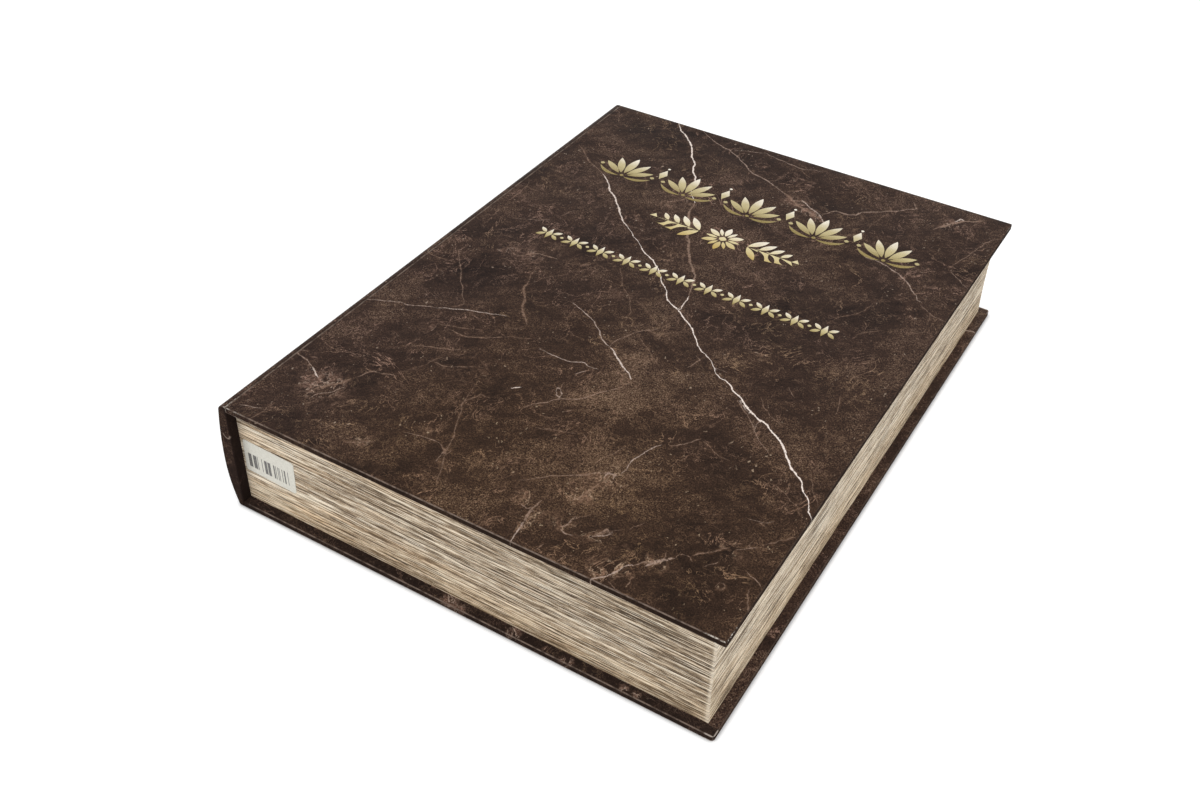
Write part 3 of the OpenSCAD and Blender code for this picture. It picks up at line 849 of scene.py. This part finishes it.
# Painted sheen: a warm tint that darkens the print towards the near corner.
painted_sheen_tint = (0.97, 0.92, 0.78, 1)
sheet = add(tree, "Group", {"Vector": place}, node_tree=marble)
cloud = add(tree, "SeparateColor", {0: attribute(tree, "clouds")["Color"]}).outputs
ragged = fade(tree, noise(tree, place, 60, 5, 0.70), 0.40, 0.58, 0.05, 1.35)
tree.links.new(times(tree, cloud[0], ragged), sheet.inputs["Pale"])
tree.links.new(times(tree, cloud[1], ragged), sheet.inputs["Rosy"])

read = attribute(tree, "veins")
signed, distance, vein_width = add(tree, "SeparateColor", {0: read["Color"]}).outputs
tone = read["Alpha"]
jitter = swing(tree, noise(tree, place, 420, 5, 0.8), 1.7)
off_line = calc(tree, "ABSOLUTE", plus(tree, signed, jitter))
swell = noise(tree, place, 260, 4, 0.65)
half = times(tree, vein_width, fade(tree, swell, 0.30, 0.70, 0.16, 0.56))
core = fade(tree, calc(tree, "SUBTRACT", off_line, half), -0.08, 0.12, 1, 0)
kept_near = fade(tree, calc(tree, "SUBTRACT", distance, half), 0.45, 0.75, 1, 0)
broken = calc(tree, "SUBTRACT", noise(tree, place, 700, 5, 0.85), fade(tree, tone, 0.4, 0.95, 0.08, 0.0))
broken = fade(tree, broken, 0.34, 0.48, 0.20, 1.0)
core = times(tree, core, kept_near, broken, fade(tree, tone, 0.1, 0.9, 0.34, 1.0))
fringe = times(tree, fade(tree, distance, 0.2, 1.6, 0.45, 0), fade(tree, swell, 0.44, 0.58),
               fade(tree, vein_width, 0.3, 1.4, 0.3, 1.0))
across, lengthwise = axes(tree, place)[:2]
# Painted sheen: the print is tinted warmer and darker towards the near corner, in place of the sheen that
# pales the far side of the cover more than the near.
painted_sheen_share = times(tree, fade(tree, lengthwise, -150 * MM, 40 * MM, 1.0, 0.1),
                  fade(tree, across, -110 * MM, -20 * MM, 0.1, 1.0))
cover_color = mix(tree, fringe, sheet.outputs["Color"], fringe_brown)
cover_color = mix(tree, painted_sheen_share, cover_color, painted_sheen_tint, "MULTIPLY")
cover_color = mix(tree, core, cover_color, mix(tree, fade(tree, tone, 0.42, 0.95), vein_tan, vein_white))
# Painted shade on the cover's upright edges, weaker towards the spine and on the veins.
painted_edge_shade = times(tree, fade(tree, across, -115 * MM, -40 * MM, 0.25, 0.80),
                   rest_of(tree, times(tree, core, 0.7)))
# The pale arris line, partly a painted highlight, fades along the fore-edge.
edge_line = fade(tree, across, cover_high.x - 1.2 * MM, cover_high.x - 0.5 * MM, 1.0, 0.2)
corner_rubs = fade(tree, across, -110 * MM, 0.0, 0.3, 0.65)
laminate(tree, shader, place, cover_color, sheet.outputs["Grain"], cover_low, cover_high,
         painted_edge_shade, edge_line, corner_rubs, 0.0)
cover_paper.data.materials.append(cover_material)

# Gold foil. Stamped ornament in three rows: fans of leaves, a rosette between two sprigs, and a chain of
# lozenges and small leaves. Each row runs from pale silver at its head to deep gold at its foot.
FAN_ROW = {"middle": 2, "foot": 100.0, "top": 122.5, "warmth": 0.3, "pitch": 40.0, "count": 5}
ROSETTE_ROW = {"middle": 1.5, "foot": 61.0, "top": 84.0, "warmth": 1.0}
CHAIN_ROW = {"middle": 1.0, "foot": 20.5, "top": 31.0, "warmth": 0.4, "pitch": 16.0, "count": 11}
foil_curve = bpy.data.curves.new("foil_ornament", "CURVE")
foil_curve.dimensions = "2D"
foil_curve.fill_mode = "BOTH"
foil_curve.extrude = foil_thick / 2
foil_curve.resolution_u = 10


def foil_stroke(start, end, bulge_left, bulge_right):
    """A pointed stroke of foil between two points, in millimetres. Each side swells by its own bulge to the
    left of the way from start to end: leaves swell both ways, and crescents swell twice the same way."""
    spline = foil_curve.splines.new("BEZIER")
    spline.bezier_points.add(1)
    spline.use_cyclic_u = True
    start, end = Vector((*start, 0)), Vector((*end, 0))
    way = end - start
    left = Vector((-way.y, way.x, 0)).normalized()
    for point, here, ahead, out_bulge, in_bulge in (
        (spline.bezier_points[0], start, way / 3, bulge_left, bulge_right),
        (spline.bezier_points[1], end, -way / 3, bulge_right, bulge_left),
    ):
        point.handle_left_type = point.handle_right_type = "FREE"
        point.co = here * MM
        point.handle_right = (here + ahead + left * out_bulge) * MM
        point.handle_left = (here + ahead + left * in_bulge) * MM


def foil_leaf(x, y, length, width, degrees):
    """An almond leaf that grows from a point, turned from upright by some degrees."""
    turn = math.radians(degrees)
    tip = (x - length * math.sin(turn), y + length * math.cos(turn))
    foil_stroke((x, y), tip, width * 0.67, -width * 0.67)


def foil_dot(x, y, diameter):
    for side in (1, -1):
        foil_stroke((x, y - diameter / 2), (x, y + diameter / 2), side * diameter * 0.667, 0)


def foil_lozenge(x, y, width, height):
    spline = foil_curve.splines.new("POLY")
    spline.points.add(3)
    spline.use_cyclic_u = True
    for point, (dx, dy) in zip(spline.points, ((0, -1), (1, 0), (0, 1), (-1, 0))):
        point.co = ((x + dx * width / 2) * MM, (y + dy * height / 2) * MM, 0, 1)


def figures(row):
    """The number and the middle of each figure in a row, from left to right."""
    for i in range(row["count"]):
        yield i, row["middle"] + (i - (row["count"] - 1) / 2) * row["pitch"]


# First row: five fans of five leaves over two crescents, with a lozenge and a dot between each two. The
# side leaves are given by how far out and up from the fan's foot they grow, length, width and lean.
FAN_LEAVES = ((1.8, 3.2, 17.2, 4.4, 27), (2.8, 2.4, 15.2, 4.0, 54))
foot = FAN_ROW["foot"]
for i, x in figures(FAN_ROW):
    foil_leaf(x, foot + 3.5, 18.8, 4.8, 0)
    for side in (-1, 1):
        for out, up, length, width, lean in FAN_LEAVES:
            foil_leaf(x + side * out, foot + up, length, width, -side * lean)
        foil_stroke((x + side * 1.5, foot - 0.2), (x + side * 16.5, foot + 5.0), side * -4.6, side * -1.4)
        foil_dot(x + side * 16.4, foot + 7.4, 2.6)
    foil_dot(x, foot + 0.9, 2.4)
    if i:
        gap = x - FAN_ROW["pitch"] / 2
        foil_lozenge(gap, foot + 14.5, 5.0, 11.0)
        foil_dot(gap, foot + 21.8, 1.8)

# Second row: a rosette of twelve petals, long and short by turns, between two sprigs that taper outwards.
HEART_RADIUS = 3.0
PETALS = ((8.6, 3.4), (6.8, 2.0))
SPRIG_START, SPRIG_STEP = 14.5, 6.4
x, y = ROSETTE_ROW["middle"], (ROSETTE_ROW["foot"] + ROSETTE_ROW["top"]) / 2
foil_dot(x, y, 4.2)
for i in range(12):
    turn = math.radians(30 * i)
    foil_leaf(x - HEART_RADIUS * math.sin(turn), y + HEART_RADIUS * math.cos(turn), *PETALS[i % 2], 30 * i)
for side in (-1, 1):
    foil_stroke((x + side * 13, y), (x + side * 42, y), side * 2.0, side * 0.4)
    for k in range(4):
        stem = x + side * (SPRIG_START + SPRIG_STEP * k)
        foil_leaf(stem, y + 0.8, 13.0 - 1.9 * k, 3.9 - 0.4 * k, -side * 40)
        foil_leaf(stem, y + 0.2, 13.0 - 1.9 * k, 3.9 - 0.4 * k, -side * 140)
    foil_lozenge(x + side * 42.5, y, 4.4, 6.6)

# Third row: a chain of lozenges with four small leaves each, and dots between them.
y = (CHAIN_ROW["foot"] + CHAIN_ROW["top"]) / 2
for i, x in figures(CHAIN_ROW):
    foil_lozenge(x, y, 3.4, 10.2)
    for side in (-1, 1):
        foil_leaf(x + side * 2.0, y + 0.3, 5.6, 2.3, -side * 52)
        foil_leaf(x + side * 2.0, y - 0.3, 5.6, 2.3, -side * 128)
    if i:
        foil_dot(x - CHAIN_ROW["pitch"] / 2, y, 2.0)

foil = bpy.data.objects.new("gold_foil_ornament", foil_curve)
scene.collection.objects.link(foil)
foil.location.z = cover_high.z + foil_thick / 2
select_only(foil)
bpy.ops.object.convert(target="MESH")
foil = bpy.context.active_object
bpy.ops.object.transform_apply(location=True, rotation=True, scale=True)
bpy.ops.object.mode_set(mode="EDIT")
bpy.ops.mesh.select_all(action="SELECT")
bpy.ops.mesh.remove_doubles(threshold=0.001 * MM)
bpy.ops.mesh.normals_make_consistent(inside=False)
bpy.ops.object.mode_set(mode="OBJECT")
rise = foil.data.attributes.new("rise", "FLOAT", "POINT")
warmth = foil.data.attributes.new("warmth", "FLOAT", "POINT")
for vertex in foil.data.vertices:
    for row in (FAN_ROW, ROSETTE_ROW, CHAIN_ROW):
        if row["foot"] - 2 < vertex.co.y / MM < row["top"] + 2:
            rise.data[vertex.index].value = (vertex.co.y / MM - row["foot"]) / (row["top"] - row["foot"])
            warmth.data[vertex.index].value = row["warmth"]

foot_gold = ((0.15, 0.115, 0.028, 1), (0.52, 0.35, 0.070, 1))
middle_gold = ((0.50, 0.42, 0.21, 1), (0.74, 0.62, 0.33, 1))
pale_silver = (0.98, 0.90, 0.77, 1)
pressed_gold = (0.28, 0.215, 0.058, 1)
material, tree, shader, place = new_material("gold_foil", 0.32, 0.5, 0.30)
rise, warmth = (attribute(tree, name)["Fac"] for name in ("rise", "warmth"))
foot_color, middle_color = (mix(tree, warmth, *tones) for tones in (foot_gold, middle_gold))
foil_color = mix(tree, fade(tree, rise, 0.0, 0.5), foot_color, middle_color)
foil_color = mix(tree, fade(tree, rise, 0.45, 0.95), foil_color, pale_silver)
press = noise(tree, place, 420, 4, 0.7)
foil_color = mix(tree, fade(tree, press, 0.35, 0.65, 0, 0.25), foil_color, pressed_gold)
tree.links.new(foil_color, shader.inputs["Base Color"])
tree.links.new(fade(tree, press, 0.3, 0.7, 0.22, 0.36), shader.inputs["Roughness"])
relief(tree, shader, press, 0.15)
foil.data.materials.append(material)
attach(foil, "lid")

# Tray. Floor and four walls of raw fibreboard, butt-jointed and glued. Two magnets lie in the fore-edge
# wall and two thin steel discs in the lid, out of sight.
fibrous("raw_fibreboard", (0.26, 0.17, 0.095, 1), (0.42, 0.29, 0.17, 1), 420, 0.8,
        ("tray_floor", "spine_side_wall", "fore_edge_wall", "tail_wall", "head_wall"))
fibrous("plated_steel", (0.50, 0.50, 0.51, 1), (0.62, 0.62, 0.63, 1), (40, 900, 40), 0.32,
        ("lid_catch_discs",), 0.1, 0.5, 1.0)
fibrous("bright_nickel", (0.58, 0.57, 0.55, 1), (0.70, 0.69, 0.67, 1), 700, 0.22,
        ("tray_magnets",), 0.1, 0.5, 1.0)

# Linings. Dark brown paper lines the lid, the floor and the walls, and a strip of dark woven cloth covers
# the rim along the spine.
fibrous("dark_lining_paper", (0.016, 0.011, 0.009, 1), (0.030, 0.021, 0.016, 1), 1100, 0.75,
        ("lid_lining", "back_endpaper", "wall_lining", "floor_lining"))
fibrous("dark_book_cloth", (0.010, 0.008, 0.007, 1), (0.028, 0.021, 0.017, 1), (1600, 2200, 1600), 0.85,
        ("hinge_strip",), 0.6)

# Printed page edges. One strip of matt paper round the tail, fore-edge and head of the tray, folded over
# the rim. It is pressed into fine level grooves and printed in cream, taupe and brown like stacked pages.
pages_low, pages_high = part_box("page_edge_paper")
LEAF_STEP = (0.30, 0.65)
GROOVE_DEPTH = (0.05, 0.18)
skin = 0.15 * MM
PAGE_TONES = (
    (0.26, (0.060, 0.041, 0.026, 1)),
    (0.42, (0.225, 0.163, 0.103, 1)),
    (0.54, (0.43, 0.335, 0.230, 1)),
    (0.66, (0.63, 0.520, 0.385, 1)),
    (0.82, (0.86, 0.78, 0.65, 1)),
)
warm_stain = (0.97, 0.80, 0.62, 1)
golden_stain = (0.95, 0.76, 0.50, 1)
worn_cream = (0.74, 0.66, 0.54, 1)
pages = merged_copy("page_edge_paper", "printed_page_edges")
bpy.ops.object.mode_set(mode="EDIT")
bpy.ops.mesh.select_mode(type="VERT")


def cut_level(height):
    bpy.ops.mesh.select_all(action="SELECT")
    bpy.ops.mesh.bisect(plane_co=(0, 0, height), plane_no=(0, 0, 1))


dice = np.random.default_rng(21)
grooves = []
height = pages_low.z + 0.3 * MM
while height < pages_high.z - 1.2 * MM:
    cut_level(height)
    height += dice.uniform(*LEAF_STEP) * MM
    cut_level(height)
    grooves.append((height, dice.uniform(*GROOVE_DEPTH) * MM))
    height += dice.uniform(*LEAF_STEP) * MM
for height, groove in grooves:
    rim = max(v.co.x for v in bmesh.from_edit_mesh(pages.data).verts if abs(v.co.z - height) < NEAR)
    edit_selection(pages, "verts", lambda v: abs(v.co.z - height) < NEAR and (
        v.co.x > rim - skin or abs(v.co.y) > pages_high.y - skin))
    bpy.ops.transform.resize(
        value=(1 - groove / (pages_high.x - pages_low.x), 1 - groove / pages_high.y, 1),
        center_override=(pages_low.x, 0, height))
bpy.ops.object.mode_set(mode="OBJECT")
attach(pages, "tray")
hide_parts("page_edge_paper")


def lifted(tree, place, rise):
    return vector(tree, "ADD", place, add(tree, "CombineXYZ", {2: rise}).outputs[0])[0]


# The way in from the edges counts as height, so that the lines go on over the rim, along its edges.
material, tree, shader, place = new_material("page_edge_print", 0.72, 0.2)
across, lengthwise, height = axes(tree, place)
from_side = calc(tree, "ABSOLUTE", lengthwise)
inward = calc(tree, "MINIMUM", calc(tree, "SUBTRACT", pages_high.x, across),
              calc(tree, "SUBTRACT", pages_high.y, from_side))
place = lifted(tree, place, inward)
wavy = lifted(tree, place, swing(tree, noise(tree, place, (40, 40, 120), 3, 0.6), 1.0 * MM))
fine = noise(tree, place, (55, 55, 2700), 2, 0.6)
value = 0.0
for layer, strength in (
    (noise(tree, wavy, (20, 20, 1800), 3, 0.70), 1.25), (fine, 1.60),
    (noise(tree, wavy, (12, 12, 560), 3, 0.6), 0.42), (noise(tree, place, (240, 240, 2200), 3, 0.7), 0.85),
):
    value = plus(tree, value, swing(tree, layer, strength))
fore_edge = fade(tree, across, pages_high.x - 1.9 * MM, pages_high.x - 1.1 * MM)
ends = rest_of(tree, fore_edge)
shaded = times(tree, fade(tree, height, 18 * MM, 30 * MM), fade(tree, height, 44 * MM, 54 * MM, 1, 0),
               fade(tree, across, -60 * MM, 60 * MM, 0.3, 1.0), ends, -0.07)
# Painted light: the fore-edge is lighter and a little flatter than the tail and head, and the tail and head
# are lighter towards the spine and darker towards the fore-edge, as the lamps light them.
value = times(tree, plus(tree, value, shaded), fade(tree, fore_edge, 0, 1, 1.0, 0.95))
value = plus(tree, value, fade(tree, fore_edge, 0, 1, 0.545, 0.615),
             fade(tree, across, -110 * MM, -30 * MM, 0.09, 0.0),
             times(tree, fade(tree, across, 30 * MM, 110 * MM, 0.0, -0.03), ends))
page_color = tone_ramp(tree, value, PAGE_TONES)
for line_scale, level, strength, line_color in (
    ((24, 24, 1700), 0.575, 0.90, (0.070, 0.048, 0.031, 1)),
    ((34, 34, 2300), 0.590, 0.80, (0.120, 0.086, 0.056, 1)),
    ((26, 26, 1950), 0.600, 0.80, (0.860, 0.780, 0.640, 1)),
):
    line = fade(tree, noise(tree, wavy, line_scale, 2, 0.55), level, level + 0.024, 0, strength)
    page_color = mix(tree, line, page_color, line_color)
warm = times(tree, fade(tree, noise(tree, wavy, (16, 16, 220), 3, 0.6), 0.46, 0.64, 0.0, 0.45),
             fade(tree, across, -90 * MM, 70 * MM, 1.0, 0.15))
page_color = mix(tree, warm, page_color, warm_stain, "MULTIPLY")
golden = fade(tree, height, 4 * MM, 26 * MM, 0.34, 0.06)
page_color = mix(tree, golden, page_color, golden_stain, "MULTIPLY")
turned_edge = times(tree, fade(tree, across, pages_high.x - 2.7 * MM, pages_high.x - 0.9 * MM),
                    fade(tree, from_side, pages_high.y - 1.7 * MM, pages_high.y - 0.4 * MM, 0, 0.35))
page_color = mix(tree, turned_edge, page_color, worn_cream)
tree.links.new(page_color, shader.inputs["Base Color"])
relief(tree, shader, fine, 0.25, 0.2 * MM)
pages.data.materials.append(material)

# Edge label. A small white sticker with rounded corners on the tail edge by the spine, printed with a
# plain row of bars.
label_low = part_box("edge_label")[0]
label_round = 1.4 * MM
label_tilt = math.radians(2)
BAR_STEP = 0.42
BLANK_SHARE = 0.42
BARS_ACROSS, BARS_UP = (2.6, 26.4), (4.4, 12.6)
label_shade, label_white = (0.58, 0.560, 0.490, 1), (0.68, 0.660, 0.590, 1)
ink_black = (0.06, 0.055, 0.055, 1)
label = merged_copy("edge_label", "white_edge_label")
bpy.ops.object.mode_set(mode="EDIT")
bpy.ops.mesh.select_mode(type="EDGE")
edit_selection(label, "edges", lambda edge: sharp(edge) and (
    (edge.verts[0].co - edge.verts[1].co) * Vector((1, 0, 1))).length < NEAR)
bpy.ops.mesh.bevel(offset=label_round, segments=5, affect="EDGES", clamp_overlap=False)
bpy.ops.object.mode_set(mode="OBJECT")
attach(label, "tray")
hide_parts("edge_label")
material, tree, shader, place = new_material("white_sticker", 0.42, 0.4)
across, _, height = axes(tree, add(tree, "Mapping", {
    "Vector": place, "Location": (-label_low.x / MM, 0, -label_low.z / MM), "Scale": (1 / MM, 1, 1 / MM),
}).outputs[0])
up = plus(tree, height, times(tree, across, math.tan(label_tilt)))
bar = calc(tree, "FLOOR", calc(tree, "DIVIDE", across, BAR_STEP))
ink = add(tree, "TexWhiteNoise", {"W": bar}, noise_dimensions="1D").outputs["Value"]
ink = calc(tree, "GREATER_THAN", ink, BLANK_SHARE)
for reading, (lower, upper) in ((across, BARS_ACROSS), (up, BARS_UP)):
    ink = times(tree, ink, calc(tree, "GREATER_THAN", reading, lower),
                calc(tree, "LESS_THAN", reading, upper))
fibre = noise(tree, place, 900, 3, 0.6)
ink = times(tree, ink, fade(tree, fibre, 0.3, 0.6, 0.75, 0.95))
paper_color = mix(tree, fade(tree, fibre, 0.3, 0.7), label_shade, label_white)
tree.links.new(mix(tree, ink, paper_color, ink_black), shader.inputs["Base Color"])
label.data.materials.append(material)

low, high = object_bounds()
